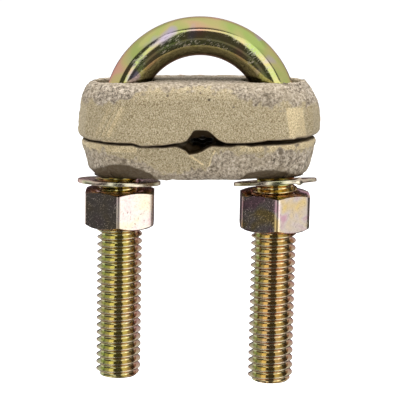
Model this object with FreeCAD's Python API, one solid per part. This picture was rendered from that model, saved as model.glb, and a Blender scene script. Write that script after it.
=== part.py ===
import FreeCAD, Part
import math
import os

from FreeCAD import Vector

# Ground rod clamp: a U-bolt, two bronze castings on its legs, and a washer and a nut on each leg.
# Millimetres, +Z up. The origin is the centre of the bend, where the axis of the largest rod lies.
# The rod and the conductor both run along Y. The legs stand in the plane y = 0 and point down.

# U-bolt
bar_diameter = 8.4
leg_spacing = 32.4
left_leg_length = 56.3
right_leg_length = 56.8
thread_diameter = 9.4
thread_length = 47.5
thread_pitch = 1.5875
thread_depth = 0.86
thread_root_flat = 0.4
thread_angle = 60.0
thread_run_out = 0.9
left_thread_lead_in = 2.154
right_thread_lead_in = 1.834
thread_cutter_overlap = 0.04
stud_end_chamfer = 0.9

# Saddle, the upper casting, given at its lower face, which is the larger one
saddle_end_reach = 9.3
saddle_depth = 23.0
saddle_height = 11.8
saddle_top_level = 7.1
saddle_end_draft = 8.0
saddle_face_draft = 4.0
saddle_crown = 0.35
saddle_top_round = 2.2
slot_clearance = 0.35
slot_bend_clearance = 0.67

# Keeper, the lower casting, given at its upper face, which is the larger one
keeper_end_reach = 8.4
keeper_depth = 22.0
keeper_height = 7.4
keeper_end_draft = 11.0
keeper_face_draft = 7.0
keeper_bottom_round = 2.6
stud_hole_clearance = 0.55

# What the two castings share
parting_gap = 0.3
lip_round = 0.5
end_flats = (0.0, 18.0, 40.0, 66.0)
end_flat_softening = 3.0
casting_lean = 1.13
groove_diameter = 4.2
groove_offset = 0.8
groove_mouth_flare = 0.4
groove_mouth_length = 1.6
groove_edge_chamfer = 0.6

# Nuts
nut_across_flats = 14.2
nut_height = 8.33
nut_gap = 3.27
nut_chamfer_angle = 30.0
nut_face_share = 0.95
nut_bore_clearance = 0.05
nut_countersink = 0.5
left_nut_turn = 0.0
right_nut_turn = 2.3

# Washers, hanging tipped on the studs
washer_diameter = 17.4
washer_bore_clearance = 0.45
washer_thickness = 0.8
washer_edge_chamfer = 0.2
washer_rest_gap = 0.1
left_washer_tip = 4.5
left_washer_roll = 0.0
right_washer_tip = 8.0
right_washer_roll = 4.0

# Worked out from the sizes above
leg_x = leg_spacing / 2
bend_radius = leg_spacing / 2
bar_radius = bar_diameter / 2
thread_radius = thread_diameter / 2
saddle_width = leg_spacing + 2 * saddle_end_reach
keeper_width = leg_spacing + 2 * keeper_end_reach
saddle_bottom_level = saddle_top_level - saddle_height
keeper_top_level = saddle_bottom_level - parting_gap
keeper_bottom_level = keeper_top_level - keeper_height
nut_level = keeper_bottom_level - nut_gap
groove_centre = Vector(groove_offset, 0, saddle_bottom_level)

UP = Vector(0, 0, 1)
ACROSS = Vector(1, 0, 0)
ALONG_ROD = Vector(0, 1, 0)


def revolved(profile, axis_x):
    """Turn a closed profile of (radius, level) pairs about an upright axis at x = axis_x."""
    points = [Vector(axis_x + radius, 0, level) for radius, level in profile]
    face = Part.Face(Part.makePolygon(points + points[:1]))
    return face.revolve(Vector(axis_x, 0, 0), UP, 360)


def thread_groove(axis_x, length, lead_in):
    """The gap between the turns of a right-hand thread, from below the stud's end up to the run-out."""
    root_radius = thread_radius - thread_depth
    outer_radius = thread_radius + thread_cutter_overlap
    half_root = thread_root_flat / 2
    half_mouth = half_root + (outer_radius - root_radius) * math.tan(math.radians(thread_angle / 2))
    section = Part.makePolygon(
        [
            Vector(root_radius, 0, -half_root),
            Vector(outer_radius, 0, -half_mouth),
            Vector(outer_radius, 0, half_mouth),
            Vector(root_radius, 0, half_root),
            Vector(root_radius, 0, -half_root),
        ]
    )
    helix = Part.makeLongHelix(thread_pitch, lead_in + thread_length - thread_run_out, thread_radius)
    groove = Part.Wire(helix.Edges).makePipeShell([section], True, True)
    groove.translate(Vector(axis_x, 0, -length - lead_in))
    return groove


def threaded_leg(axis_x, length, lead_in):
    """One leg below the bend: plain shank, run-out cone, and the stud with its thread cut in."""
    thread_top = thread_length - length
    profile = [
        (0, 0),
        (bar_radius, 0),
        (bar_radius, thread_top + thread_run_out),
        (thread_radius, thread_top),
        (thread_radius, stud_end_chamfer - length),
        (thread_radius - stud_end_chamfer, -length),
        (0, -length),
    ]
    return revolved(profile, axis_x).cut(thread_groove(axis_x, length, lead_in))


def u_bolt():
    """The bent bar: half a ring over two threaded legs, one solid."""
    bend = Part.makeTorus(bend_radius, bar_radius, Vector(0, 0, 0), ALONG_ROD)
    reach = bend_radius + bar_diameter
    upper_half = Part.makeBox(2 * reach, 2 * reach, reach, Vector(-reach, -reach, 0))
    left = threaded_leg(-leg_x, left_leg_length, left_thread_lead_in)
    right = threaded_leg(leg_x, right_leg_length, right_thread_lead_in)
    return bend.common(upper_half).fuse([left, right]).removeSplitter()


def casting_outline(width, depth, level):
    """Plan of a casting: straight sides, and ends made of flats that stand on a half round."""
    radius = depth / 2
    widest = math.sin(math.radians(end_flats[-1]))
    centre = width / 2 - radius * widest
    angles = list(end_flats) + [180 - angle for angle in reversed(end_flats)]
    corners = []
    for side in (1, -1):
        for angle in angles:
            out = centre + radius * math.sin(math.radians(angle))
            forward = radius * math.cos(math.radians(angle))
            corners.append(Vector(side * out, -side * forward, level))
    return Part.makePolygon(corners + corners[:1])


def drafted_block(width, depth, base_level, height, end_draft, face_draft):
    """A block that narrows from its base outline over a signed height, with softened upright edges."""
    end_loss = 2 * abs(height) * math.tan(math.radians(end_draft))
    face_loss = 2 * abs(height) * math.tan(math.radians(face_draft))
    base = casting_outline(width, depth, base_level)
    far = casting_outline(width - end_loss, depth - face_loss, base_level + height)
    block = Part.makeLoft([base, far], True, True)
    upright = [edge for edge in block.Edges if abs(edge.tangentAt(edge.FirstParameter).z) > 0.5]
    return block.makeFillet(end_flat_softening, upright)


def edges_near_level(shape, level, reach):
    """The edges whose whole length lies within reach of a level."""
    return [
        edge
        for edge in shape.Edges
        if abs(edge.BoundBox.ZMin - level) < reach and abs(edge.BoundBox.ZMax - level) < reach
    ]


def groove_cutter(width, depth):
    """The conductor's path along Y: a round bore, a bell mouth at each end, and eased parting edges."""
    half = depth / 2
    bore_radius = groove_diameter / 2
    start = groove_centre - ALONG_ROD * (half + groove_mouth_length)
    cutter = Part.makeCylinder(bore_radius, depth + 2 * groove_mouth_length, start, ALONG_ROD)
    for side in (1, -1):
        inner = groove_centre + ALONG_ROD * (side * (half - groove_mouth_length))
        mouth = Part.makeCone(
            bore_radius, bore_radius + 2 * groove_mouth_flare, 2 * groove_mouth_length,
            inner, ALONG_ROD * side,
        )
        cutter = cutter.fuse(mouth)
    for level, rise in ((saddle_bottom_level, 1), (keeper_top_level, -1)):
        sunk = groove_centre.z - level
        edge_x = math.sqrt(bore_radius**2 - sunk**2)
        wedge = Part.makePolygon(
            [
                Vector(groove_offset - edge_x - groove_edge_chamfer, -width, level),
                Vector(groove_offset, -width, level + rise * (edge_x + groove_edge_chamfer)),
                Vector(groove_offset + edge_x + groove_edge_chamfer, -width, level),
                Vector(groove_offset - edge_x - groove_edge_chamfer, -width, level),
            ]
        )
        trough = Part.Face(wedge).extrude(ALONG_ROD * (2 * width))
        rim = Part.makeBox(
            width, 2 * width, groove_edge_chamfer,
            Vector(groove_offset - width / 2, -width, min(level, level + rise * groove_edge_chamfer)),
        )
        cutter = cutter.fuse(trough.common(rim))
    return cutter


def leaned(shape):
    """Lean a casting about the groove's axis, as it stands loose on the U-bolt."""
    turned = shape.copy()
    turned.rotate(groove_centre, ALONG_ROD, -casting_lean)
    return turned


def crowned_prism():
    """Everything under the saddle's top, which is a shallow arc across the width."""
    reach = saddle_width / 2
    back = Vector(0, saddle_depth, 0)
    left = Vector(-reach, 0, saddle_top_level - saddle_crown) - back
    middle = Vector(0, 0, saddle_top_level) - back
    right = Vector(reach, 0, saddle_top_level - saddle_crown) - back
    down = Vector(0, 0, -2 * saddle_height)
    sides = Part.makePolygon([right, right + down, left + down, left])
    outline = Part.Wire([Part.Arc(left, middle, right).toShape()] + sides.Edges)
    return Part.Face(outline).extrude(back * 2)


def saddle():
    """Upper casting: crowned top with rounded edges, a slot for each leg, half the groove below."""
    block = drafted_block(
        saddle_width, saddle_depth, saddle_bottom_level, saddle_height + saddle_top_round,
        saddle_end_draft, saddle_face_draft,
    )
    block = block.common(crowned_prism())
    block = block.makeFillet(saddle_top_round, edges_near_level(block, saddle_top_level, 2 * saddle_crown))
    block = block.makeFillet(lip_round, edges_near_level(block, saddle_bottom_level, lip_round))
    slot_radius = thread_radius + slot_clearance
    outer_end = leg_x + slot_radius
    bend_inner_reach = math.sqrt((bend_radius - bar_radius) ** 2 - saddle_top_level**2)
    inner_end = bend_inner_reach - slot_bend_clearance
    for side in (1, -1):
        inner_centre = side * (inner_end + slot_radius)
        outer_centre = side * (outer_end - slot_radius)
        low = saddle_bottom_level - saddle_height
        slot = Part.makeBox(
            abs(outer_centre - inner_centre), 2 * slot_radius, 3 * saddle_height,
            Vector(min(inner_centre, outer_centre), -slot_radius, low),
        )
        for centre_x in (inner_centre, outer_centre):
            slot = slot.fuse(Part.makeCylinder(slot_radius, 3 * saddle_height, Vector(centre_x, 0, low), UP))
        block = block.cut(slot)
    return leaned(block.cut(groove_cutter(saddle_width, saddle_depth)))


def keeper():
    """Lower casting: a round hole for each stud, rounded under edges, half the groove above."""
    block = drafted_block(
        keeper_width, keeper_depth, keeper_top_level, -keeper_height, keeper_end_draft, keeper_face_draft
    )
    block = block.makeFillet(keeper_bottom_round, edges_near_level(block, keeper_bottom_level, lip_round))
    block = block.makeFillet(lip_round, edges_near_level(block, keeper_top_level, lip_round))
    hole_radius = thread_radius + stud_hole_clearance
    low = keeper_bottom_level - keeper_height
    for side in (1, -1):
        hole = Part.makeCylinder(hole_radius, 3 * keeper_height, Vector(side * leg_x, 0, low), UP)
        block = block.cut(hole)
    return leaned(block.cut(groove_cutter(keeper_width, keeper_depth)))


def nut(axis_x, turn):
    """Hexagon nut with both faces chamfered, standing corner to the front, turned about its stud."""
    corner_radius = nut_across_flats / math.sqrt(3)
    face_radius = nut_face_share * nut_across_flats / 2
    bottom = nut_level - nut_height
    corners = []
    for step in range(7):
        angle = math.radians(60 * step - 90 + turn)
        corners.append(
            Vector(axis_x + corner_radius * math.cos(angle), corner_radius * math.sin(angle), bottom)
        )
    prism = Part.Face(Part.makePolygon(corners)).extrude(UP * nut_height)
    drop = (corner_radius - face_radius) * math.tan(math.radians(nut_chamfer_angle))
    dome = revolved(
        [
            (0, bottom),
            (face_radius, bottom),
            (corner_radius, bottom + drop),
            (corner_radius, nut_level - drop),
            (face_radius, nut_level),
            (0, nut_level),
        ],
        axis_x,
    )
    bore_radius = thread_radius + nut_bore_clearance
    bore = revolved(
        [
            (0, bottom),
            (bore_radius + nut_countersink, bottom),
            (bore_radius, bottom + nut_countersink),
            (bore_radius, nut_level - nut_countersink),
            (bore_radius + nut_countersink, nut_level),
            (0, nut_level),
        ],
        axis_x,
    )
    return prism.common(dome).cut(bore)


def washer(axis_x, tip, roll):
    """Flat washer, tipped front up and rolled, resting on the rim of the nut's face."""
    outer = washer_diameter / 2
    inner = thread_radius + washer_bore_clearance
    half = washer_thickness / 2
    ring = revolved(
        [
            (inner, -half),
            (outer - washer_edge_chamfer, -half),
            (outer, -half + washer_edge_chamfer),
            (outer, half),
            (inner, half),
        ],
        axis_x,
    )
    slope = math.hypot(tip, roll)
    rim_radius = nut_face_share * nut_across_flats / 2
    lift = rim_radius * math.sin(math.radians(slope)) + half + washer_rest_gap
    centre = Vector(axis_x, 0, 0)
    ring.rotate(centre, ACROSS, -tip)
    ring.rotate(centre, ALONG_ROD, -roll)
    ring.translate(UP * (nut_level + lift))
    return ring


pieces = {
    "u_bolt": u_bolt(),
    "saddle": saddle(),
    "keeper": keeper(),
    "washer_left": washer(-leg_x, left_washer_tip, left_washer_roll),
    "washer_right": washer(leg_x, right_washer_tip, right_washer_roll),
    "nut_left": nut(-leg_x, left_nut_turn),
    "nut_right": nut(leg_x, right_nut_turn),
}

os.makedirs("parts", exist_ok=True)
for name, shape in pieces.items():
    solid = shape.Solids[0]
    solid.exportStep(f"parts/{name}.step")
    box = solid.BoundBox
    print(
        f"{name}: {len(shape.Solids)} solid, valid {solid.isValid()}, volume {solid.Volume:.1f}, "
        f"x {box.XMin:.2f} {box.XMax:.2f}, y {box.YMin:.2f} {box.YMax:.2f}, z {box.ZMin:.2f} {box.ZMax:.2f}"
    )
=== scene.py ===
import math

import bmesh
import bpy
import numpy as np
from mathutils import Matrix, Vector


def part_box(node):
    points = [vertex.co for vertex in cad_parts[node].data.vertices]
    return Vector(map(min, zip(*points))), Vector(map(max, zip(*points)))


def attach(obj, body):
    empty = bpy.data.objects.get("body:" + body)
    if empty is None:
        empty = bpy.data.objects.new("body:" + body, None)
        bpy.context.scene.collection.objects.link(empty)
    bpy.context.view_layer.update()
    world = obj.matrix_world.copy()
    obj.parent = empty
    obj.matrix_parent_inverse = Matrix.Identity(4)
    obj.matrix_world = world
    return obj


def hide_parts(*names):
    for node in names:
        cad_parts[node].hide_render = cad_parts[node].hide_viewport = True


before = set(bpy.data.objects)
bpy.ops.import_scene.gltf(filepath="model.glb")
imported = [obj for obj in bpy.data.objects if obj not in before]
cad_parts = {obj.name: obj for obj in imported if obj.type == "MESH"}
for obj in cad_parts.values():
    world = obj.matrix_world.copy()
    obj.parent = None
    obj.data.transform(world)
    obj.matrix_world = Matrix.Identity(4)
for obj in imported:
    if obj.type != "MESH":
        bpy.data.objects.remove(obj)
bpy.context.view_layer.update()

# Sizes are in millimetres and are turned to metres as a mesh is made. +Z is up along the legs, the ground
# rod and the conductor run along Y, and the origin is the centre of the U-bolt's bend.


# U-bolt
# One steel bar, bent cold to a half circle, with a 3/8-16 thread rolled on both legs. Yellow passivate on
# bright zinc covers it, a film thin enough to turn green, gold and rose.
MM = 0.001
weld_distance = 0.001
pitch = 25.4 / 16
thread_depth = 0.84
thread_run_out = 2.4
thread_length = 47.5
crest_share = 0.0625
flank_shares = (0.14, 0.225, 0.305)
root_share = 0.115
crest_rounding = 0.035
root_rounding = 0.05
stud_columns = 96
shank_rows = 14
stud_end_chamfer = 0.9
left_leg_shortfall = 0.5
stud_front_crest = {"left": -24.55, "right": -25.28}
bend_rows = 150
bend_radius = 16.1
bend_half_thickness = 4.0
bend_shift = 0.22

# The end of a leg is a little dished, as (share of its radius, rise into the leg) from the rim inwards.
end_dish = ((1, 0), (0.7, 0.06), (0.35, 0.1), (0, 0.1))

bolt_low, bolt_high = (np.array(corner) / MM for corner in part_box("u_bolt"))
nut_low, nut_high = (np.array(corner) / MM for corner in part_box("nut_right"))
leg_x = (nut_low[0] + nut_high[0]) / 2
bar_radius = bolt_high[2] - leg_x
thread_radius = bolt_high[0] - leg_x


def linear(colour):
    """An sRGB hex colour such as "b9a878" as linear red, green, blue and alpha."""
    share = [int(colour[place:place + 2], 16) / 255 for place in (0, 2, 4)]
    return [s / 12.92 if s <= 0.04045 else ((s + 0.055) / 1.055) ** 2.4 for s in share] + [1.0]


def add(material, kind, feeds, stops=(), **settings):
    """One shader node with its settings. feeds maps a socket to its value, to the socket that feeds it, or to
    the node whose first output feeds it. stops are a colour ramp's positions and hex colours, rising."""
    tree = material.node_tree
    made = tree.nodes.new("ShaderNode" + kind)
    for name, value in settings.items():
        setattr(made, name, value)
    for socket, value in feeds.items():
        if isinstance(value, bpy.types.Node):
            value = next(output for output in value.outputs if output.enabled)
        if isinstance(value, bpy.types.NodeSocket):
            tree.links.new(value, made.inputs[socket])
        else:
            made.inputs[socket].default_value = value
    if stops:
        elements = made.color_ramp.elements
        elements.remove(elements[1])
        for place, (position, colour) in enumerate(stops):
            element = elements.new(position) if place else elements[0]
            element.position = position
            element.color = linear(colour)
    return made


def emptied(owner):
    """Gives a material or a world its node tree, without any node."""
    owner.use_nodes = True
    owner.node_tree.nodes.clear()
    return owner


def put(name, data):
    """A new object in the scene, for a mesh, a lamp or a camera."""
    made = bpy.data.objects.new(name, data)
    bpy.context.scene.collection.objects.link(made)
    return made


def eased(share):
    """A smooth step: 0 below 0, 1 above 1, and a cubic between."""
    share = np.clip(share, 0, 1)
    return share * share * (3 - 2 * share)


def weld(grids):
    """One closed mesh from grids of (x, y, z) in mm: neighbours in a grid become quads, points that coincide
    are merged, so that seams and poles close, and the faces are turned outwards."""
    start = 0
    faces = []
    for grid in grids:
        rows, columns = grid.shape[:2]
        index = start + np.arange(rows * columns).reshape(rows, columns)
        quads = np.stack([index[:-1, :-1], index[:-1, 1:], index[1:, 1:], index[1:, :-1]], axis=-1)
        faces.append(quads.reshape(-1, 4))
        start += rows * columns
    points = np.concatenate([grid.reshape(-1, 3) for grid in grids])
    mesh = bpy.data.meshes.new("welded")
    mesh.from_pydata(points, [], np.concatenate(faces))
    soup = bmesh.new()
    soup.from_mesh(mesh)
    bmesh.ops.remove_doubles(soup, verts=soup.verts, dist=weld_distance)
    bmesh.ops.dissolve_degenerate(soup, edges=soup.edges, dist=weld_distance / 10)
    bmesh.ops.recalc_face_normals(soup, faces=soup.faces)
    soup.to_mesh(mesh)
    soup.free()
    return mesh


def each_point(mesh, what):
    """A mesh's places ("co") or its normals ("normal"), as an array with one row for each point."""
    values = np.empty(len(mesh.vertices) * 3, np.float32)
    mesh.vertices.foreach_get(what, values)
    return values.reshape(-1, 3).astype(float)


def keep(mesh, shares):
    """Keeps named arrays, each with a share for each point, as attributes that the material reads."""
    for name, values in shares.items():
        layer = mesh.attributes.new(name, "FLOAT", "POINT")
        layer.data.foreach_set("value", values.astype(np.float32))


def piece(name, mesh, material, body, node, crease=35.0):
    """A mesh in millimetres as a piece that stands for a CAD node. Edges over crease degrees stay sharp."""
    mesh.name = name
    mesh.transform(Matrix.Scale(MM, 4))
    mesh.shade_smooth()
    mesh.set_sharp_from_angle(angle=math.radians(crease))
    mesh.materials.append(material)
    made = put(name, mesh)
    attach(made, body)
    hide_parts(node)


def rings(centre_x, angles, levels, radii):
    """Points round an upright axis: the angle runs right from the front, as x = sin and y = -cos times the
    radius. levels and radii spread to (rows, columns)."""
    levels, radii, angles = np.broadcast_arrays(levels, radii, angles)
    return np.stack([centre_x + radii * np.sin(angles), -radii * np.cos(angles), levels], axis=-1)


def thread_share():
    """One pitch of a 60 degree thread as (share of the pitch, share of its depth): rounded crest at 0, two
    straight flanks, and a rounded root at 0.5."""
    half = np.array([0, crest_share, *flank_shares, 0.5 - root_share, 0.5])
    slope = (half - crest_share) / (0.5 - root_share - crest_share)
    height = 1 - np.clip(slope, 0, 1)
    height[0] += crest_rounding
    height[-1] -= root_rounding
    return np.append(half, 1 - half[-2:0:-1]), np.append(height, height[-2:0:-1])


def screw(centre_x, angles, front_crest, low, high, radius_from):
    """A threaded surface between two levels. Each row is a helix that climbs one pitch a turn, right-handed,
    from its place on the pitch at the front. Past an end its points stay in the end's plane."""
    share, height = thread_share()
    first = math.floor((low - front_crest) / pitch) - 2
    last = math.ceil((high - front_crest) / pitch) + 2
    turns = np.arange(first, last)
    start = (front_crest + pitch * (turns[:, None] + share[None, :])).ravel()
    levels = np.clip(start[:, None] + pitch * angles / (2 * math.pi), low, high)
    radii = radius_from(np.tile(height, len(turns))[:, None], levels)
    return rings(centre_x, angles, levels, radii)


def leg(centre_x, end, front_crest):
    """One leg below the bend: the shank, which turns into the bend's flattened section and leans with it, the
    thread with its run-out and chamfered end, and the end's face."""
    angles = np.linspace(0, 2 * math.pi, stud_columns + 1)
    thread_top = end + thread_length
    end_radius = thread_radius - stud_end_chamfer

    def radius(height, levels):
        full = thread_radius - thread_depth * (1 - height)
        fade = np.clip((thread_top - levels) / thread_run_out, 0, 1)
        faded = bar_radius + (full - bar_radius) * fade
        return np.minimum(faded, end_radius + (levels - end))

    shank_levels = np.linspace(thread_top, 0, shank_rows)[:, None]
    shank = rings(centre_x, angles, shank_levels, bar_radius)
    share = eased(1 - shank_levels / thread_top)
    squeezed = (shank[..., 0] - centre_x) * (1 - share * (1 - bend_half_thickness / bar_radius))
    centre = centre_x * (1 - share * (1 - bend_radius / leg_x)) + share * bend_shift
    shank[..., 0] = centre + squeezed
    face_shares, face_rises = np.array(end_dish).T[..., None]
    face = rings(centre_x, angles, face_rises + end, face_shares * end_radius)
    return [screw(centre_x, angles, front_crest, end, thread_top, radius), shank, face]


def bend():
    """The bar's half circle: rings a little flattened by the bending, carried round the centre line."""
    path = np.linspace(0, math.pi, bend_rows)[:, None]
    girth = np.linspace(0, 2 * math.pi, stud_columns + 1)[None, :]
    reach = bend_radius + bend_half_thickness * np.sin(girth)
    x = bend_shift + reach * np.cos(path)
    y = -bar_radius * np.cos(girth)
    return np.stack(np.broadcast_arrays(x, y, reach * np.sin(path)), axis=-1)


# A tint of the film shows where a channel of the patches' noise passes from its first edge to its second, and
# the film turns rose at a slant.
tint_edges = (("Red", 0.46, 0.64), ("Red", 0.47, 0.33), ("Blue", 0.59, 0.72))
film_glance = "e9c9d6"
bar_tints = ("dccd8c", "bbcf76", "ecba9c", "ccbed0")

# On the thread the tints run across each stud, 0 to 0.5 on the left one and 0.5 to 1 on the right one. They
# fade in between two levels, up to a share, and the crests are painted paler, a painted highlight for their
# thin bright lines, and made duller.
thread_tints = ((0.04, "b8d49c"), (0.13, "e2dc98"), (0.34, "e8dc9c"), (0.45, "cfa893"),
                (0.55, "b4cb98"), (0.64, "e8cf96"), (0.88, "eacf9a"), (0.98, "cba890"))
thread_film_levels = (-12.0, -18.0)
thread_film_share = 0.85
crest_highlight_colour = "f0e2cc"
crest_highlight_share = 0.6
crest_dullness = 0.35
crest_band = 0.4
crest_blend = 0.35

# Inside the bend the bar is painted darker, a painted reflection of the shaded saddle top below it. Along
# its front the bar was scuffed, at (axis, from, to, share) in mm.
inner_shade_colour = "827e5c"
inner_shade_reach = 15.2
inner_shade_blend = 1.2
inner_shade_foot = (-2.0, 2.0)
scuff_colour = "f8e6ee"
scuff_size = 0.35
scuff_lean = 52
scuff_stretch = 3
scuff_places = (("Y", -3.65, -3.95, 1.0), ("Z", 7.0, 11.0, 0.6))


def zinc_yellow(name, tints, roughness, grain, patch, wear_and_painted_light, left_film=1.0):
    """Bright zinc with yellow passivate. The eye sees a mirror whose hue drifts from one soft patch to the
    next, over rubbing marks that only soften what it mirrors. tints are hex colours from the common one to
    the rare one, left_film thins the rarer ones at X < 0, and wear_and_painted_light adds a piece's own marks
    to the film, and on the bar also a painted highlight on the crests and a painted reflection inside the
    bend."""
    material = emptied(bpy.data.materials.new(name))
    place = add(material, "TexCoord", {}).outputs["Object"]
    # Mirrored left to right, the patches lie more as they do on the real clamp.
    flipped = add(material, "Mapping", {"Vector": place, "Scale": (-1, 1, 1)})
    patches = add(material, "TexNoise",
                  {"Vector": flipped, "Scale": 1 / (patch * MM), "Detail": 1.5, "Distortion": 0.5})
    channels = add(material, "SeparateColor", {"Color": patches.outputs["Color"]})
    level = add(material, "SeparateXYZ", {"Vector": place})
    thickness = add(material, "MapRange",
                    {"Value": level.outputs["X"], "From Min": -MM, "From Max": MM, "To Min": left_film})
    colour = linear(tints[0])
    for tint, (channel, begin, finish) in zip(tints[1:], tint_edges):
        step = add(material, "MapRange",
                   {"Value": channels.outputs[channel], "From Min": begin, "From Max": finish,
                    "To Max": thickness})
        colour = add(material, "Mix", {"Factor": step, "A": colour, "B": linear(tint)}, data_type="RGBA")
    marks = add(material, "TexNoise",
                {"Vector": place, "Scale": 1 / (grain * MM), "Detail": 4.0, "Roughness": 0.7})
    rough = add(material, "MapRange", {"Value": marks, "From Min": 0.3, "From Max": 0.7,
                                       "To Min": roughness * 0.7, "To Max": roughness * 1.5})
    film = {"place": place, "level": level.outputs, "patches": patches, "colour": colour, "rough": rough}
    wear_and_painted_light(material, film)
    bump = add(material, "Bump", {"Height": marks, "Strength": 0.05, "Distance": 0.05 * MM})
    surface = add(material, "BsdfPrincipled",
                  {"Base Color": film["colour"], "Metallic": 1.0, "Roughness": film["rough"],
                   "Normal": bump, "Specular Tint": linear(film_glance)})
    add(material, "OutputMaterial", {"Surface": surface})
    return material


def streaks(material, film, lean, stretch, size, **noise):
    """A noise of a size in mm, drawn out by stretch along a lean in degrees from upright."""
    leaning = add(material, "Mapping", {"Vector": film["place"], "Rotation": (0, math.radians(lean), 0),
                                        "Scale": (1, 1, stretch)}, vector_type="TEXTURE")
    return add(material, "TexNoise", {"Vector": leaning, "Scale": 1 / (size * MM), **noise})


def bar_wear_and_painted_light(material, film):
    """The thread's tints with crests painted paler, a painted highlight, the bend's inner side painted
    darker, a painted reflection of the shaded saddle top, and scuffs along its front: the product of four
    limits, near the front, high up, in leaning streaks and in patches. The streaks are as coarse as they need
    to be to show."""
    below = add(material, "MapRange", {"Value": film["level"]["Z"], "From Min": thread_film_levels[0] * MM,
                                       "From Max": thread_film_levels[1] * MM, "To Max": thread_film_share})
    side, crest, inner = (add(material, "Attribute", {}, attribute_name=name).outputs["Fac"]
                          for name in ("side", "crest", "inner"))
    # The crests are painted paler: a painted highlight.
    crest_highlight = add(material, "Math", {0: crest, 1: crest_highlight_share}, operation="MULTIPLY")
    across_studs = add(material, "ValToRGB", {"Fac": side}, stops=thread_tints)
    thread_film = add(material, "Mix", {"Factor": crest_highlight, "A": across_studs, "B": linear(crest_highlight_colour)},
                      data_type="RGBA")
    dulled = crest_highlight
    for limit in (below, crest_dullness):
        dulled = add(material, "Math", {0: dulled, 1: limit}, operation="MULTIPLY")
    rubbed = streaks(material, film, scuff_lean, scuff_stretch, scuff_size, Detail=4.0, Roughness=0.7)
    limits = [(film["level"][axis], low * MM, high * MM, most) for axis, low, high, most in scuff_places]
    limits += [(rubbed, 0.45, 0.66, 1.0), (film["patches"], 0.43, 0.55, 1.0)]
    scuffed = 1.0
    for value, begin, finish, most in limits:
        limit = add(material, "MapRange",
                    {"Value": value, "From Min": begin, "From Max": finish, "To Max": most})
        scuffed = add(material, "Math", {0: scuffed, 1: limit}, operation="MULTIPLY")
    # inner paints the bend's inner side darker: a painted reflection of the shaded saddle top.
    for share, tint in ((below, thread_film), (inner, linear(inner_shade_colour)), (scuffed, linear(scuff_colour))):
        film["colour"] = add(material, "Mix", {"Factor": share, "A": film["colour"], "B": tint},
                             data_type="RGBA")
    for share in (dulled, scuffed):
        film["rough"] = add(material, "Math", {0: film["rough"], 1: share}, operation="MAXIMUM")


def mark_bar(mesh):
    """Three shares for each point of the bar: side runs from 0 to 0.5 across the left stud and from 0.5 to 1
    across the right one, crest is 1 on the thread's crests, where a highlight is painted, and inner is 1 on
    the bend's inner side, which is painted darker as a painted reflection of the shaded saddle top."""
    x, y, z = each_point(mesh, "co").T
    sign = np.sign(x)
    from_leg = x - sign * leg_x
    into_band = np.hypot(from_leg, y) - thread_radius + crest_band
    reach = np.hypot(x - bend_shift, np.maximum(z, 0))
    foot, top = inner_shade_foot
    keep(mesh, {"side": 0.25 * from_leg / thread_radius + 0.5 + 0.25 * sign,
                "crest": eased(into_band / crest_blend),
                "inner": eased((inner_shade_reach - reach) / inner_shade_blend) * eased((z - foot) / (top - foot))})


bolt_grids = leg(-leg_x, bolt_low[2] + left_leg_shortfall, stud_front_crest["left"])
bolt_grids += leg(leg_x, bolt_low[2], stud_front_crest["right"])
bolt_grids.append(bend())
bolt_mesh = weld(bolt_grids)
mark_bar(bolt_mesh)
plated_bar = zinc_yellow("yellow_passivated_zinc_bar", bar_tints, 0.09, grain=0.35, patch=6.5, wear_and_painted_light=bar_wear_and_painted_light)
piece("u_bolt_bar", bolt_mesh, plated_bar, "u_bolt", "u_bolt", crease=40)


# Nuts
# Two 3/8-16 hexagon nuts, cold formed, chamfered on both faces, bright zinc with yellow passivate. Each
# has its own thread inside, in step with the stud's.
nut_across_flats = 14.2
nut_face_share = 0.95
nut_chamfer_angles = (23.0, 32.0)
nut_top_drop = 0.42
nut_countersink = 0.5
nut_mouth_clearance = 0.05
nut_thread_clearance = 0.06
nut_turns = {"left": 0.0, "right": 2.3}
flat_columns = 28
flat_rows = 12
corner_crowding = 0.85
corner_sharpness = 40
nut_tints = ("dfd0c4", "edcf8c", "d9adb9")
nut_left_film = 0.3

# Scratches on two leans, each (degrees from upright, cut). A higher cut leaves fewer of them.
scratch_leans = ((38, 0.645), (-52, 0.665))
scratch_size = 0.18
scratch_stretch = 12
scratch_blend = 0.05
scratch_roughness = 0.45


def scratches(material, film):
    """Scratches from handling, dull lines that catch the light: rough where a noise stretched along a lean
    passes its cut. They are drawn as coarse as they need to be to show."""
    for lean, cut in scratch_leans:
        lines = streaks(material, film, lean, scratch_stretch, scratch_size, Detail=1.0)
        step = add(material, "MapRange", {"Value": lines, "From Min": cut, "From Max": cut + scratch_blend,
                                          "To Max": scratch_roughness})
        film["rough"] = add(material, "Math", {0: film["rough"], 1: step}, operation="MAXIMUM")


def hexagon(angles, turn):
    """Radius of a hexagon with softened corners: the inverse of a power mean of the six flats' cosines."""
    flats = turn + math.radians(30) + np.arange(6)[:, None] * math.radians(60)
    facing = np.clip(np.cos(angles - flats), 0, 1) ** corner_sharpness
    return nut_across_flats / 2 * facing.sum(axis=0) ** (-1 / corner_sharpness)


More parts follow.
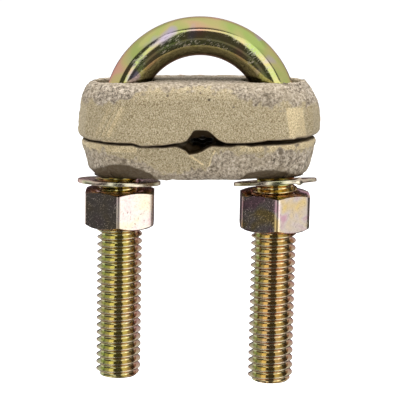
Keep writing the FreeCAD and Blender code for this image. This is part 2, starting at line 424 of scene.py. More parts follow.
def nut(centre_x, turn, front_crest):
    """Hexagon nut: flats cut by a cone at each face, and the thread inside between two countersinks. Columns
    stand closer together towards the corners."""
    top = nut_high[2] - nut_top_drop
    bottom = nut_low[2]
    sector = np.linspace(0, 1, flat_columns, endpoint=False)
    crowded = sector - corner_crowding * np.sin(2 * math.pi * sector) / (2 * math.pi)
    angles = turn + np.append((np.arange(6)[:, None] + crowded).ravel(), 6) * math.radians(60)
    outline = hexagon(angles, turn)[None, :]
    face_radius = nut_face_share * nut_across_flats / 2
    mouth_radius = thread_radius + nut_mouth_clearance + nut_countersink
    drop, lift = ((outline - face_radius) * math.tan(math.radians(angle)) for angle in nut_chamfer_angles)
    fall = np.linspace(0, 1, flat_rows)[:, None]
    flat_levels = (top - drop) + (bottom - top + drop + lift) * fall
    edges = (mouth_radius, face_radius, top, bottom)
    mouth, face, upper, lower = (np.full_like(outline, value) for value in edges)
    levels = np.concatenate([upper, upper, flat_levels, lower, lower])
    radii = np.concatenate([mouth, face] + [outline] * flat_rows + [face, mouth])

    def bore(height, levels):
        thread = thread_radius + nut_thread_clearance - thread_depth * (1 - height)
        cone = mouth_radius - np.minimum(top - levels, levels - bottom)
        return np.maximum(thread, cone)

    return [rings(centre_x, angles, levels, radii), screw(centre_x, angles, front_crest, bottom, top, bore)]


plated_nut = zinc_yellow("yellow_passivated_zinc_nut", nut_tints, 0.13, grain=0.5, patch=4.2, wear_and_painted_light=scratches,
                         left_film=nut_left_film)
for side, sign in (("left", -1), ("right", 1)):
    grids = nut(sign * leg_x, math.radians(nut_turns[side]), stud_front_crest[side])
    piece(f"hexagon_nut_{side}", weld(grids), plated_nut, f"nut_{side}", f"nut_{side}")


# Washers
# Two flat washers punched from thin strip, plated like the nuts. They hang loose and tipped on the studs,
# and the right one has a burr on its rim.
washer_radius = 8.7
washer_mid_radius = 7.0
washer_bore_radius = 5.15
washer_thickness = 0.8
washer_columns = 144
washer_tips = {"left": (5.0, -1.1), "right": (8.0, 4.5)}
washer_shifts = {"left": (-0.25, 0.0, -0.05), "right": (0.0, 0.0, 0.0)}
washer_burrs = {"left": 0.0, "right": 1.2}
burr_angle = 34.0
burr_width = 4.0
bore_edge_round = 0.12
rim_round = 0.25
rim_shoulder = 0.07
lower_edge_round = 0.1
washer_tints = ("e4dec0", "d2d4a6", "e2cbb8")


def washer(side):
    """A punched ring with rounded edges, tipped front up and rolled right side up. The burr is a bell curve
    of the angle along its rim."""
    tip, roll = (math.radians(degrees) for degrees in washer_tips[side])
    bore, rim, half = washer_bore_radius, washer_radius, washer_thickness / 2
    angles = np.linspace(0, 2 * math.pi, washer_columns + 1)
    section = np.array([
        (bore, -half), (bore, half - bore_edge_round), (bore + bore_edge_round, half),
        (washer_mid_radius, half), (rim - rim_round, half), (rim - rim_shoulder, half - rim_shoulder),
        (rim, half - rim_round), (rim, lower_edge_round - half), (rim - lower_edge_round, -half),
        (washer_mid_radius, -half), (bore + lower_edge_round, -half), (bore, -half)])
    radii, levels = section.T[..., None]
    burr = washer_burrs[side] * np.exp(-((np.degrees(angles) - burr_angle) / burr_width) ** 2)
    ring = rings(0.0, angles, levels * (1 + burr * (radii > washer_mid_radius)), radii)
    low, high = (np.array(corner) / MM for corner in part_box(f"washer_{side}"))
    tilt = np.array(Matrix.Rotation(-roll, 3, "Y") @ Matrix.Rotation(-tip, 3, "X"))
    return ring @ tilt.T + (low + high) / 2 + washer_shifts[side]


plated_washer = zinc_yellow("yellow_passivated_zinc_washer", washer_tints, 0.2, grain=0.3, patch=5.0,
                            wear_and_painted_light=scratches)
for side in ("left", "right"):
    piece(f"flat_washer_{side}", weld([washer(side)]), plated_washer, "keeper",
          f"washer_{side}")


# Saddle and keeper
# Two blocks of bronze cast in sand, the saddle with a slot for each leg and the keeper with a hole. Their
# fronts were ground on a belt, so a khaki metal shows there, and elsewhere the grey sand skin was left.
strip_half_width = 7.0
strip_columns = 91
strip_rows = 62
column_crowding = 0.28
row_crowding = 0.1
hull_step = 0.25
rim_softening = 0.8
rim_allowance = 4.0
end_corners = (0.0, 13.6, 32.0, 56.0, 80.0)
end_corner_softening = 1.3
end_facing = 0.25
end_blend = 0.6
stud_centre = 15.2
stud_reach = 6.8
stud_blend = 1.8
ray_rows = 22
hole_row = 0.5
hole_edge_round = 0.4
hole_edge_rows = 5
casting_lean = 1.13
groove_x = 0.8
groove_radius = 2.1
groove_bell = (1.6, 0.4)
groove_shoulder = 0.6
groove_rib = 1.1
groove_rib_spacing = 5.4
last_rib = 9.0
mouth_reach = (3.0, 4.2)
wave_reach = (-2.0, 4.0)
parting_gap = 0.3
saddle_base = -4.7
keeper_top = saddle_base - parting_gap

saddle_size = {"width": 50.3, "off_centre": 0.1, "depth": 23.0, "height": 11.8, "crown": 0.35}
saddle_slot = (15.127, 1.073, 5.05)
keeper_size = {"width": 48.9, "off_centre": 0.05, "depth": 22.0, "height": 7.7, "crown": 0.0}
keeper_hole = (16.2, 0.0, 5.25)

# Upright section of each block's rim as (inset, rise) from its parting face to its far face.
saddle_face = ((0.4, 0), (0.08, 0.22), (0, 0.6), (0.3, 5.0), (0.6, 8.8), (1.1, 10.3), (2.1, 11.4),
               (3.3, 11.8))
saddle_rim = {
    "face": saddle_face,
    "stud": saddle_face,
    "left": ((1.1, 0), (0.5, 0.35), (0.1, 1.0), (0, 1.6), (0.2, 3.6), (0.4, 5.6), (0.68, 7.7), (1.1, 9.3),
             (1.75, 10.8), (2.4, 11.5), (3.2, 11.8)),
    "right": ((1.3, 0), (0.6, 0.35), (0.15, 1.0), (0, 2.0), (0, 3.8), (0.12, 5.6), (0.6, 7.7), (1.4, 9.3),
              (2.3, 10.8), (2.9, 11.5), (3.3, 11.8)),
}
keeper_rim = {
    "face": ((0.35, 0), (0.05, 0.25), (0, 0.5), (0.4, 3.5), (0.75, 6.2), (1.3, 7.1), (2.3, 7.6), (3.2, 7.7)),
    "stud": ((0.35, 0), (0.05, 0.25), (0, 0.5), (0.4, 3.2), (0.8, 4.4), (2.1, 6.0), (3.6, 7.3), (4.4, 7.7)),
    "left": ((0.4, 0), (0.1, 0.3), (0.15, 1.0), (0.7, 2.6), (1.5, 5.9), (2.6, 7.2), (3.4, 7.7)),
    "right": ((0.4, 0), (0.1, 0.3), (0.15, 1.0), (0.4, 1.9), (1.25, 5.6), (2.3, 7.1), (3.3, 7.7)),
}

# The parting faces aren't flat. Each block's wave and its broken front mouth of the groove, as (x, depth cut
# into the block) along the parting line.
saddle_wave = ((-13.5, 0), (-12.4, -0.3), (-11.6, -0.6), (-9.5, -0.5), (-7.0, -0.45), (-5.4, -0.2), (-3.8, 0),
               (9.0, 0), (10.5, 0.1), (12.5, 0.3), (14.0, 0.6), (18.0, 0.6), (20.0, 0.55), (25.0, 0.45))
saddle_mouth = ((-3.6, 0), (-2.9, 0.25), (-2.3, 0.55), (-1.9, 1.17), (-1.5, 1.6), (-1.1, 2.4), (-0.6, 2.6),
                (1.7, 2.55), (2.5, 2.1), (3.3, 1.4), (4.1, 0.66), (4.9, 0.25), (5.8, 0))
keeper_wave = ((-13.5, 0.05), (-12.0, 0.5), (-7.0, 0.5), (-5.0, 0.3), (-3.6, 0.1), (2.6, 0.1), (3.6, 0.3),
               (6.6, 0.35), (7.8, 0), (9.6, 0), (10.6, 0.25), (12.0, 0.1), (14.0, 0), (20.0, -0.1),
               (25.0, -0.2))
keeper_mouth = ((-4.6, 0), (-3.9, 0.4), (-2.7, 1.0), (-1.9, 1.8), (-0.5, 1.6), (0.7, 1.2), (1.7, 0.6),
                (2.5, 0.2), (3.2, 0))

# The middle strip's columns stand closer together towards the groove.
spread = np.linspace(-1, 1, strip_columns)
strip_x = strip_half_width * ((1 - column_crowding) * spread + column_crowding * spread ** 3)


def softened(corners, count, window):
    """A broken line resampled to count even steps, with its corners rounded by a moving average."""
    corners = np.asarray(corners, float)
    reach = np.append(0, np.cumsum(np.linalg.norm(np.diff(corners, axis=0), axis=1)))
    place = np.linspace(0, reach[-1], count)
    line = np.stack([np.interp(place, reach, corners[:, axis]) for axis in (0, 1)], axis=1)
    half = max(1, int(window / reach[-1] * count / 2))
    weights = np.hanning(2 * half + 3)[1:-1]
    weights = weights / weights.sum()
    padded = np.pad(line, ((half, half), (0, 0)), mode="reflect", reflect_type="odd")
    return np.stack([np.convolve(padded[:, axis], weights, "valid") for axis in (0, 1)], axis=1)


def plan(width, off_centre, depth, count):
    """Plan of a casting as one closed loop: front of the middle strip, right end, back, left end. Each end is
    a half round ground to flats between corners, and off_centre moves both ends to the right."""
    radius = depth / 2
    centre = width / 2 - radius * math.sin(math.radians(end_corners[-1]))
    turns = np.radians(end_corners + tuple(180 - corner for corner in end_corners[::-1]))
    corners = np.stack([centre + radius * np.sin(turns), -radius * np.cos(turns)], axis=1)

    def end(outward):
        start = strip_half_width - outward
        line = np.vstack([[start, -radius], corners, [start, radius]])
        return softened(line, count, end_corner_softening) + (outward, 0)

    front = np.stack([strip_x, np.full_like(strip_x, -radius)], axis=1)
    back = front[::-1] * (1, -1)
    left = end(-off_centre)[::-1] * (-1, 1)
    return np.concatenate([front, end(off_centre)[1:-1], back, left[1:-1], front[:1]])


def wave_depth(x, y, wave):
    """Depth of the wave that is cut into a block's parting face. It dies out towards the back."""
    full, none = wave_reach
    return np.interp(x, *np.array(wave).T) * eased((none - y) / (none - full))


def parting_face(x, y, depth, wave, mouth):
    """Depth cut into a block at its parting face: its wave, and the conductor's groove, a circular arc with
    sloping shoulders, belled at the back mouth and broken out at the front mouth, with ribs across it."""
    bell_depth, bell_growth = groove_bell
    near_end = np.clip((np.abs(y) - (depth / 2 - bell_depth)) / bell_depth, 0, 1)
    ribs = groove_rib * np.clip(np.cos(2 * math.pi * (y - last_rib) / groove_rib_spacing) - 0.3, 0, 0.5) / 0.5
    radius = groove_radius + bell_growth * near_end - ribs * (1 - near_end)
    aside = np.abs(x - groove_x)
    arc = np.sqrt(np.clip(radius ** 2 - aside ** 2, 0, None))
    arc = np.maximum(arc, np.clip(groove_radius + groove_shoulder - aside, 0, groove_shoulder))
    inward = y + depth / 2
    at_front = eased((mouth_reach[1] - inward) / (mouth_reach[1] - mouth_reach[0]))
    broken = np.interp(x, *np.array(mouth).T)
    return arc + (broken - arc) * at_front + wave_depth(x, y, wave)


def hole_edge(turned, sign, hole, grown):
    """Points at given angles on the edge of a hole, grown all round: on its straight sides, or on its half
    round ends."""
    hole_x, half, radius = hole
    wide = radius + grown
    cosine, sine = np.cos(turned), np.sin(turned)
    to_side = wide / np.maximum(np.abs(sine), 1e-6)
    to_end = half * np.abs(cosine) + np.sqrt(np.clip(wide ** 2 - (half * sine) ** 2, 0, None))
    length = np.where(to_side * np.abs(cosine) <= half, to_side, to_end)
    return sign * (hole_x + length * cosine), length * sine


def casting(size, rim, hole, level, way, wave, mouth):
    """A cast block as grids, from its parting face up or down. Its wall carries the rim sections round the
    plan, blended from the middle to the studs and the ends. A hole is (centre x, half length of its straight
    sides, radius), and a ray from its centre joins each point on its edge to one on the block's."""
    width, depth, height = size["width"], size["depth"], size["height"]
    count = int(round((width / 2 + depth) / hull_step))
    near = plan(width, size["off_centre"], depth, count)
    along = np.roll(near[:-1], -1, axis=0) - np.roll(near[:-1], 1, axis=0)
    along /= np.linalg.norm(along, axis=1)[:, None]
    outward = np.stack([along[:, 1], -along[:, 0]], axis=1)
    outward = np.concatenate([outward, outward[:1]])
    end = eased((np.abs(outward[:, 0]) - end_facing) / end_blend)
    stud = (1 - end) * eased((stud_reach - np.abs(np.abs(near[:, 0]) - stud_centre)) / stud_blend)
    parts = {"left": end * (near[:, 0] < 0), "right": end * (near[:, 0] > 0), "stud": stud,
             "face": 1 - end - stud}
    rows = int((height + rim_allowance) / hull_step)
    section = sum(softened(rim[name], rows, rim_softening)[:, None, :] * part[:, None]
                  for name, part in parts.items())

    def near_face(x, y):
        return parting_face(x, y, depth, wave, mouth)

    def far_face(x, y):
        return height - size["crown"] * (2 * x / width) ** 2

    low = near_face(near[:, 0], near[:, 1])
    high = far_face(near[:, 0], near[:, 1])
    wall_z = level + way * (low + section[..., 1] / height * (high - low))
    flat = near - outward * section[..., :1]
    wall = np.dstack([flat, wall_z])
    grids = [wall]
    edges = {}
    for name, row, face in (("near", wall[0], near_face), ("far", wall[-1], far_face)):
        back_start = strip_columns + count - 2
        front = row[:strip_columns]
        back = row[back_start:back_start + strip_columns][::-1]
        step = np.linspace(0, 1, strip_rows)
        step = (step - row_crowding * np.sin(2 * math.pi * step) / math.pi)[:, None, None]
        strip = front + (back - front) * step
        inner = strip[1:-1]
        strip[1:-1, :, 2] = level + way * face(inner[..., 0], inner[..., 1])
        grids.append(strip)
        right = row[strip_columns - 1:back_start + 1]
        left = row[back_start + strip_columns - 1:]
        edges[name] = {1: np.concatenate([right, strip[-2::-1, -1]]),
                       -1: np.concatenate([left, strip[1:, 0]])}
    for sign in (1, -1):
        ray_angles = []
        rims = []
        for name, face, to_face in (("near", near_face, 1), ("far", far_face, -1)):
            loop = edges[name][sign]
            angle = np.unwrap(np.arctan2(loop[:, 1], sign * loop[:, 0] - hole[0]))
            edge_x, edge_y = hole_edge(angle, sign, hole, hole_edge_round)
            step = np.linspace(0, 1, ray_rows)[:, None]
            x = loop[:, 0] + (edge_x - loop[:, 0]) * step
            y = loop[:, 1] + (edge_y - loop[:, 1]) * step
            z = level + way * face(x, y)
            z[0] = loop[:, 2]
            quarter = np.radians(np.linspace(0, 90, hole_edge_rows))[1:, None]
            round_x, round_y = hole_edge(angle, sign, hole, hole_edge_round * (1 - np.sin(quarter)))
            sunk = to_face * hole_edge_round * (1 - np.cos(quarter))
            round_z = level + way * (face(round_x, round_y) + sunk)
            rays = np.stack([x, y, z], axis=-1)
            grids.append(np.concatenate([rays, np.stack([round_x, round_y, round_z], axis=-1)]))
            ray_angles.append(angle)
            rims.append(round_z[-1])
        step = np.linspace(0, 1, int(height / hole_row))[:, None]
        turned = ray_angles[0] + (ray_angles[1] - ray_angles[0]) * step
        x, y = hole_edge(turned, sign, hole, 0.0)
        grids.append(np.stack([x, y, rims[0] + (rims[1] - rims[0]) * step], axis=-1))
    return grids


# The sand skin is a sum of lumps, each (size, height). A point is ground where it stands proud of the belt's
# path, and the belt leaves scores on a level a little below the skin's.
lattice_cells = 32
skin_lumps = ((5.0, 0.08), (1.7, 0.075), (0.75, 0.085), (0.45, 0.055))
painted_shade_smoothing = 0.65
belt_cut = 0.1
belt_deepest = 2.6
belt_blend = 0.06
belt_score = 0.014
belt_score_size = 0.5
belt_level = 0.03
# Hollows of the skin deeper than hollow_depth are painted dark, a painted shade.
hollow_depth = 0.06
hollow_blend = 0.12
hollow_shade_darkness = 0.75


def lumps(points, size, seed):
    """Smooth random heights from -1 to 1: a cubic lattice of random values, size apart, that repeats after
    lattice_cells, blended by cubic steps."""
    lattice = np.random.default_rng(seed).uniform(-1, 1, (lattice_cells,) * 3)
    cell = points / size
    low = np.floor(cell).astype(int)
    part = eased(cell - low)
    total = np.zeros(len(points))
    for corner in np.ndindex(2, 2, 2):
        weight = np.where(np.array(corner) == 1, part, 1 - part).prod(axis=1)
        total += weight * lattice[tuple(((low + corner) % lattice_cells).T)]
    return total


def skin(mesh, finish, seed):
    """Gives a cast block its sand skin, heights of four sizes of lumps along the normals, levels them where
    the belt ground it, mostly on the front side, and leans the block. Keeps the ground, painted shade and
    bright shares of each point. The lumps are smoothed where the finish paints shade, and the skin's
    hollows get painted shade too."""
    points = each_point(mesh, "co")
    normals = each_point(mesh, "normal")
    side = eased((-normals[:, 1] - 0.2) / 0.2)
    inside, painted_shade, bright, pits = finish(points, normals, side)
    height = np.zeros(len(points))
    for place, (size, reach) in enumerate(skin_lumps):
        height += reach * lumps(points, size, seed + 1 + place)
    height = height * (1 - painted_shade_smoothing * painted_shade) - pits
    hollow = np.clip((-hollow_depth - height) / hollow_blend, 0, 1)
    proud = (height + belt_cut * np.minimum(inside, belt_deepest)) / belt_blend
    ground = np.clip(proud + 0.5, 0, 1) * (1 - painted_shade)
    scores = belt_score * lumps(points * (1, 1, 0.5), belt_score_size, seed + 13) - belt_level
    height = height * (1 - ground) + ground * scores
    # The skin's hollows get painted shade.
    painted_shade = np.maximum(painted_shade, hollow_shade_darkness * hollow * (1 - ground))
    points += normals * height[:, None]
    lean = math.radians(-casting_lean)
    x = points[:, 0] - groove_x
    z = points[:, 2] - saddle_base
    points[:, 0] = groove_x + x * math.cos(lean) + z * math.sin(lean)
    points[:, 2] = saddle_base - x * math.sin(lean) + z * math.cos(lean)
    mesh.vertices.foreach_set("co", points.astype(np.float32).ravel())
    keep(mesh, {"ground": ground, "painted_shade": painted_shade, "bright": bright * side * ground})
    mesh.update()


def streak(x, z, start, finish, width):
    """1 along a straight line from start to finish, each (x, z), and 0 beyond half the width each side."""
    start = np.array(start)
    way = np.array(finish) - start
    reach = np.linalg.norm(way)
    way = way / reach
    along = (x - start[0]) * way[0] + (z - start[1]) * way[1]
    across = (x - start[0]) * way[1] - (z - start[1]) * way[0]
    return eased(1.5 - np.abs(across) / width * 2) * eased(along / width) * eased((reach - along) / width)


# Between the blocks the skin is painted dark, a painted shade for the shaded groove and gap, up to a height
# above the parting face.
between_height = 3.2
groove_half_width = 2.5
groove_mouth_growth = 2.2


def in_groove(points, normals, depth, rise):
    """How dark the painted shade is: full on the groove's wall, and half, in clouds, on the parting face, but
    for a dark hem along its front. It stands for the shade in the groove and in the gap between the blocks."""
    x, y = points.T[:2]
    inward = y + depth / 2 + 0.5 * lumps(points, 1.5, 60)
    half = groove_half_width + groove_mouth_growth * eased((mouth_reach[1] + 0.8 - inward) / 2)
    low = rise < between_height
    groove = eased((half - np.abs(x - groove_x)) / 0.7) * (np.abs(y) < depth / 2 - 0.35) * low
    hem = eased((-y - depth / 2 + 4.5 + lumps(points, 2.5, 61)) / 2.5)
    clouds = 0.45 + 0.2 * lumps(points, 3.0, 62) + 0.35 * hem
    return np.maximum(groove, clouds * eased((np.abs(normals[:, 2]) - 0.5) / 0.3) * low)


# What the belt left on the saddle. Its limit at the top edge is (x, level), a scrape is (shift to the right,
# brightness, width), and a pit (x, z, radius, depth).
saddle_belt_edge = ((-25, 3.2), (-14, 3.6), (-10, 6.0), (6, 6.2), (9, 3.4), (25, 2.8))
saddle_belt_back = 1.2
# The facet near the right end is painted brighter: a painted highlight where it mirrors the right softbox.
facet_left = 17.5
facet_slope = 0.9 / 6.4
facet_width = 3.8
facet_top = 2.6
facet_highlight = 0.5
scrape_line = ((-17.6, 3.0), (-21.0, -3.9))
scrapes = ((0.0, 0.2, 0.9), (1.3, 0.25, 0.5), (2.4, 0.4, 0.9), (3.3, 0.15, 0.4))
saddle_pits = ((2.1, 4.1, 0.3, 0.4), (5.3, 3.4, 0.24, 0.3), (7.1, 2.6, 0.3, 0.25), (11.6, 3.1, 0.3, 0.25),
               (0.4, 5.5, 0.2, 0.2), (-6.2, 4.9, 0.25, 0.2), (3.9, 1.4, 0.16, 0.2), (-9.8, 0.6, 0.14, 0.15),
               (12.8, -1.2, 0.16, 0.2))
# Along the parting line the lip is painted brighter: a painted highlight line.
lip_height = 0.35
lip_highlight = 0.6
lip_end = 20


def saddle_finish(points, normals, side):
    """Where the belt touched the saddle: its front up to a rough band at the top edge, deeper at the two
    ends, with one flat facet near the right end, painted brighter as a painted highlight, scrapes near the
    left, and a painted highlight along the lip at the parting line. Returns how far inside the belt's path a
    point is, the painted shade, bright, and the pits' depth."""
    x, y, z = points.T
    rise = z - saddle_base
    ragged = lumps(points, 1.6, 41)
    rough = np.interp(x, *np.array(saddle_belt_edge).T) - z + 0.9 * ragged
    behind = saddle_belt_back - rise + 0.5 * ragged
    inside = rough * side + behind * (1 - side)
    painted_shade = in_groove(points, normals, saddle_size["depth"], rise)
    left_edge = facet_left + facet_slope * (2.4 - z)
    facet = eased((x - left_edge) / 0.25) * eased((left_edge + facet_width - x) / 0.25)
    # Painted highlight on the facet.
    bright = facet_highlight * facet * eased((facet_top - z) / 0.5)
    (start_x, start_z), (finish_x, finish_z) = scrape_line
    for shift, strength, width in scrapes:
        scrape = streak(x, z, (start_x + shift, start_z), (finish_x + shift, finish_z), width)
        bright = np.maximum(bright, strength * scrape)
    # Painted highlight along the lip.
    lip = rise - wave_depth(x, y, saddle_wave) - np.interp(x, *np.array(saddle_mouth).T)
    lit_lip = eased((lip_height - lip + 0.15 * lumps(points, 0.6, 43)) / 0.2) * (x < lip_end)
    bright = np.maximum(bright, lip_highlight * lit_lip)
    pits = np.zeros(len(points))
    for pit_x, pit_z, radius, deep in saddle_pits:
        pits += deep * np.exp(-((x - pit_x) ** 2 + (z - pit_z) ** 2) / radius ** 2) * side
    return inside, painted_shade, bright, pits


# What the belt left on the keeper. Its reach is (x, depth). Under a stud the keeper is painted dark, a
# painted shade for its shaded underside, from a parabola down, (centre x, depth there, growth, at this
# distance), a ridge is (start, finish, brightness, width), and a hem along the parting line (depth,
# brightness).
keeper_belt_reach = ((-22, 1.5), (-19.5, 1.5), (-18.3, 2.8), (-12.7, 3.6), (-8.3, 5.2), (-3, 5.8), (1.4, 6.0),
                     (2.4, 4.2), (3.3, 1.4), (4.2, 1.2), (8.5, 1.7), (23, 1.6))
keeper_belt_back = 0.8
left_stud_shade = (-16.0, 3.9, 2.4, 6.5)
right_stud_shade = (14.2, 5.2, 1.6, 6.0)
stud_shade_darkness = 0.85
keeper_ridges = (((-1.9, -7.1), (1.2, -9.3), 0.7, 0.4), ((3.4, -6.0), (1.6, -10.8), 0.8, 0.3))
right_hem = (1.6, 0.45)
left_hem = (1.8, 0.4)


def keeper_finish(points, normals, side):
    """Where the belt touched the keeper: a strip along the parting line, and a patch in the middle with a
    ridge across it. Under the studs the lower edge is smooth and painted dark, a painted shade for its shaded
    underside, and a fainter painted shade lies along the lower edge between them. Returns what saddle_finish
    does."""
    x, y, z = points.T
    fall = keeper_top - z
    reach = np.interp(x, *np.array(keeper_belt_reach).T)
    inside = (reach - fall + 0.7 * lumps(points, 1.6, 51)) * side + (keeper_belt_back - fall) * (1 - side)
    left_start, right_start = (deep + growth * ((x - centre) / width) ** 2
                               for centre, deep, growth, width in (left_stud_shade, right_stud_shade))
    start = np.where(x < 0, left_start, right_start)
    # Painted shade under the studs, and a fainter painted shade along the lower edge between them.
    under = eased((fall - start - 0.25 * lumps(points, 2.5, 53)) / 0.5) * (y < 0)
    between = 0.3 * eased((fall - 5.9) / 0.7) * (np.abs(x) < 9)
    painted_shade = np.maximum(in_groove(points, normals, keeper_size["depth"], fall),
                       np.maximum(stud_shade_darkness * under, between))
    bright = np.zeros(len(points))
    for start, finish, strength, width in keeper_ridges:
        bright = np.maximum(bright, strength * streak(x, z, start, finish, width))
    for (deep, strength), at_end in ((right_hem, x > 8.5), (left_hem, x < -12.5)):
        bright = np.maximum(bright, strength * eased((deep - fall) / 0.4) * at_end)
    return inside, painted_shade, bright, np.zeros(len(points))


# Colours of the three surfaces, the first two from the hollows of their grain to its tops. The dark third
# is a painted shade, and the gain adds a painted highlight and lighter scrapes.
belt_tones = ((0.38, "7c6846"), (0.5, "c8b58e"), (0.75, "fff8e0"))
sand_tones = ((0.38, "40362b"), (0.51, "ab9d8a"), (0.72, "f6ead8"))
sand_stain = "a8987c"
polish_and_highlight_gain = "bcaa82"
painted_shade_colour = "57462e"


def sand_cast_bronze():
    """Bronze with three surfaces, chosen by attributes: khaki metal scored by a belt, which gives the eye a
    fine sparkle, made lighter by the bright share, a painted highlight on the saddle's facet and lip and
    lighter on the scrapes, ridges and hems, a chalky grey-pink sand skin, and a dark painted shade in the
    groove, between the blocks, under the studs and in the skin's hollows. The 0.2 mm speck stands for finer
    grit, as coarse as it needs to be to show."""
    material = emptied(bpy.data.materials.new("sand_cast_bronze"))
    place = add(material, "TexCoord", {}).outputs["Object"]
    ground, painted_shade, bright = (add(material, "Attribute", {}, attribute_name=name).outputs["Fac"]
                             for name in ("ground", "painted_shade", "bright"))
    upright = add(material, "Mapping", {"Vector": place, "Scale": (1, 1, 0.7)})
    noises = ((upright, 0.2, 3.0, 0.85), (place, 0.6, 4.0, 0.85), (place, 6, 3.0, 0.5))
    speck, grain, cloud = (add(material, "TexNoise", {"Vector": vector, "Scale": 1 / (size * MM),
                                                      "Detail": detail, "Roughness": roughness})
                           for vector, size, detail, roughness in noises)
    belt = add(material, "ValToRGB", {"Fac": speck}, stops=belt_tones)
    sand = add(material, "ValToRGB", {"Fac": grain}, stops=sand_tones)
    stain = add(material, "MapRange", {"Value": cloud, "From Min": 0.35, "From Max": 0.65, "To Max": 0.4})
    stained = add(material, "Mix", {"Factor": stain, "A": sand, "B": linear(sand_stain)}, data_type="RGBA")
    # Lighter where bright: a painted highlight on the saddle's facet and lip, and lighter scrapes, ridges and
    # hems.
    polish_and_highlight = add(material, "Mix", {"Factor": bright, "A": belt, "B": linear(polish_and_highlight_gain)},
                   data_type="RGBA", blend_type="ADD")
    unburnt = add(material, "Mix", {"Factor": ground, "A": stained, "B": polish_and_highlight}, data_type="RGBA")
    # The dark colour is a painted shade.
    colour = add(material, "Mix", {"Factor": painted_shade, "A": unburnt, "B": linear(painted_shade_colour)}, data_type="RGBA")
    smooth = add(material, "Math", {0: ground, 1: painted_shade}, operation="MAXIMUM")
    shine, rough = (add(material, "MapRange", {"Value": smooth, "To Min": on_sand, "To Max": on_metal})
                    for on_sand, on_metal in ((0.0, 0.5), (0.85, 0.42)))
    height = add(material, "Mix", {"Factor": ground, "A": grain, "B": speck})
    bump = add(material, "Bump", {"Height": height, "Strength": 0.7, "Distance": 0.14 * MM})
    surface = add(material, "BsdfPrincipled", {"Base Color": colour, "Metallic": shine,
                                               "Roughness": rough, "Normal": bump})
    add(material, "OutputMaterial", {"Surface": surface})
    return material


bronze = sand_cast_bronze()
saddle_mesh = weld(casting(saddle_size, saddle_rim, saddle_slot, saddle_base, 1, saddle_wave, saddle_mouth))
skin(saddle_mesh, saddle_finish, seed=100)
piece("cast_saddle", saddle_mesh, bronze, "saddle", "saddle", crease=180)
keeper_mesh = weld(casting(keeper_size, keeper_rim, keeper_hole, keeper_top, -1, keeper_wave, keeper_mouth))
skin(keeper_mesh, keeper_finish, seed=200)
piece("cast_keeper", keeper_mesh, bronze, "keeper", "keeper", crease=180)


# Camera
# A little above the clamp, looking down by ten degrees along the rod's direction. The clamp was set a little
# askew when it was photographed, so the camera is rolled and the two blocks lean back to level.
camera_distance = 357.2
camera_height = 46.6
camera_side = 0.55
camera_drop = 10.3
camera_roll = 1.13
focal_pixels = 1731
image_pixels = 400
lens = bpy.data.cameras.new("camera")
lens.sensor_width = 36.0
lens.lens = focal_pixels / image_pixels * lens.sensor_width
lens.clip_start = 0.01
lens.clip_end = 20
camera = put("camera", lens)
place = Matrix.Translation([camera_side * MM, -camera_distance * MM, camera_height * MM])
turn = Matrix.Rotation(math.radians(90 - camera_drop), 4, "X")
camera.matrix_world = place @ turn @ Matrix.Rotation(math.radians(camera_roll), 4, "Z")
bpy.context.scene.camera = camera


# Studio
# A white table and sweep far below and behind, three softboxes, and a dark room in front of the clamp. The
# table's and the softboxes' sizes are in metres.
table_level = -0.115
table_size = 6.0
table_lift = 0.66
fill_level = 0.52
room_level = 0.08
softbox_distance = 0.9

# Each softbox is (azimuth to the right of the camera's side, elevation, width, height, radiance), with the
# angles in degrees.
softboxes = {
    "softbox_overhead": (0, 85, 1.4, 1.0, 3.2),
    "softbox_left": (-60, 40, 0.7, 0.7, 0.45),
    "softbox_right": (55, 18, 0.5, 0.9, 1.2),
}

# What polished metal mirrors: a white tent, open round the camera, with a bright hem and a dark gap behind,
# cards beside the opening, and low cards that the threads mirror twice. Each is (from, to, from elevation, to
# elevation, blur, level) in degrees, by the angle of the first two: the azimuth to the right of the camera's
# side, or the opening's, measured from straight to the camera.
studio_panels = {
    "opening": ((58, 190, 7, 100, 3, 0.84), (58, 190, 38, 100, 12, 1.02)),
    "azimuth": (
        (-36, 48, 38, 48, 3, 1.5), (-30, -14, -3, 40, 4, 1.4), (18, 48, -3, 40, 4, 1.6),
        (-154, -105, -95, 10, 12, 1.0), (118, 154, -95, 10, 12, 0.75), (-200, 200, -100, -55, 12, 0.2),
        (45, 61, -15, 12, 4, 2.4), (45, 72, -15, 12, 4, 1.25), (-48, -23, -22, -1, 4, 0.9),
        (22, 48, -22, -1, 4, 0.95), (-64, -31, -60, -26, 6, 1.5), (-105, -60, -55, -20, 8, 0.7),
        (31, 66, -60, -26, 6, 1.05), (62, 105, -55, -20, 8, 0.6), (-30, 30, -20, -8, 5, 0.22)),
}
table_mesh = bpy.data.meshes.new("table")
half = table_size / 2
corners = [(-half, -half, 0), (half, -half, 0), (half, half, 0), (-half, half, 0)]
table_mesh.from_pydata(corners, [], [(0, 1, 2, 3)])
table_mesh.transform(Matrix.Translation([0, 0, table_level]))
table = put("table", table_mesh)

# White laminate. For the camera, light of its own lifts it to an even white, and metal doesn't mirror it, as
# it has the studio's panels to mirror.
laminate = emptied(bpy.data.materials.new("white_laminate_table"))
rays = add(laminate, "LightPath", {})
white = add(laminate, "BsdfDiffuse", {"Color": linear("ececec")})
seen = add(laminate, "Math", {0: rays.outputs["Is Camera Ray"], 1: table_lift}, operation="MULTIPLY")
lift = add(laminate, "Emission", {"Strength": seen})
lit_table = add(laminate, "AddShader", {0: white, 1: lift})
clear = add(laminate, "BsdfTransparent", {})
shown = add(laminate, "MixShader", {0: rays.outputs["Is Glossy Ray"], 1: lit_table, 2: clear})
add(laminate, "OutputMaterial", {"Surface": shown})
table_mesh.materials.append(laminate)

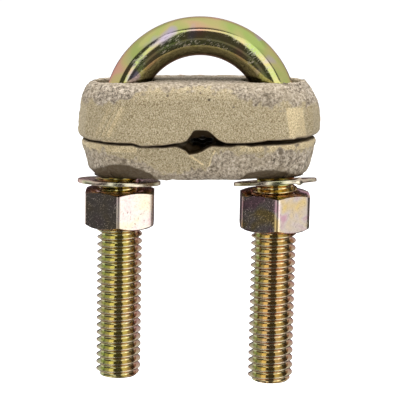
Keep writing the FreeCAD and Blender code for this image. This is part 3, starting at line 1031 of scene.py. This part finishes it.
for name, (side_angle, height_angle, width, height, radiance) in softboxes.items():
    lamp = bpy.data.lights.new(name, "AREA")
    lamp.shape = "RECTANGLE"
    lamp.size = width
    lamp.size_y = height
    lamp.energy = radiance * math.pi * width * height
    softbox = put(name, lamp)
    around = Matrix.Rotation(math.radians(side_angle), 4, "Z")
    down = Matrix.Rotation(math.radians(90 - height_angle), 4, "X")
    softbox.matrix_world = around @ down @ Matrix.Translation([0, 0, softbox_distance])
    softbox.visible_glossy = False

world = emptied(bpy.data.worlds.new("studio"))
bpy.context.scene.world = world
rays = add(world, "LightPath", {})
ray = add(world, "TexCoord", {})
way = add(world, "SeparateXYZ", {"Vector": ray.outputs["Generated"]})
frontward = add(world, "Math", {0: way.outputs["Y"], 1: -1.0}, operation="MULTIPLY")
panel_angles = {
    "opening": add(world, "Math", {0: frontward}, operation="ARCCOSINE"),
    "azimuth": add(world, "Math", {0: way.outputs["X"], 1: frontward}, operation="ARCTAN2"),
}
elevation = add(world, "Math", {0: way.outputs["Z"]}, operation="ARCSINE")


def window(angle, low, high, blur):
    """1 where an angle lies between two bounds in degrees, and 0 outside, with an edge as wide as blur."""
    share = 1.0
    for bound, begin, finish in ((low, 0, 1), (high, 1, 0)):
        step = add(world, "MapRange",
                   {"Value": angle, "From Min": math.radians(bound - blur / 2),
                    "From Max": math.radians(bound + blur / 2), "To Min": begin, "To Max": finish},
                   interpolation_type="SMOOTHSTEP")
        share = add(world, "Math", {0: share, 1: step}, operation="MULTIPLY")
    return share


mirrored = room_level
for angle, panels in studio_panels.items():
    for low, high, bottom, top, blur, strength in panels:
        across = window(panel_angles[angle], low, high, blur)
        upward = window(elevation, bottom, top, blur)
        panel = add(world, "Math", {0: across, 1: upward}, operation="MULTIPLY")
        bright = add(world, "Math", {0: panel, 1: strength}, operation="MULTIPLY")
        mirrored = add(world, "Math", {0: mirrored, 1: bright}, operation="MAXIMUM")
lit = add(world, "Mix", {"Factor": rays.outputs["Is Glossy Ray"], "A": fill_level, "B": mirrored})
level = add(world, "Mix", {"Factor": rays.outputs["Is Camera Ray"], "A": lit, "B": 1.0})
sky = add(world, "Background", {"Strength": level})
add(world, "OutputWorld", {"Surface": sky})

bpy.context.scene.view_settings.view_transform = "Standard"
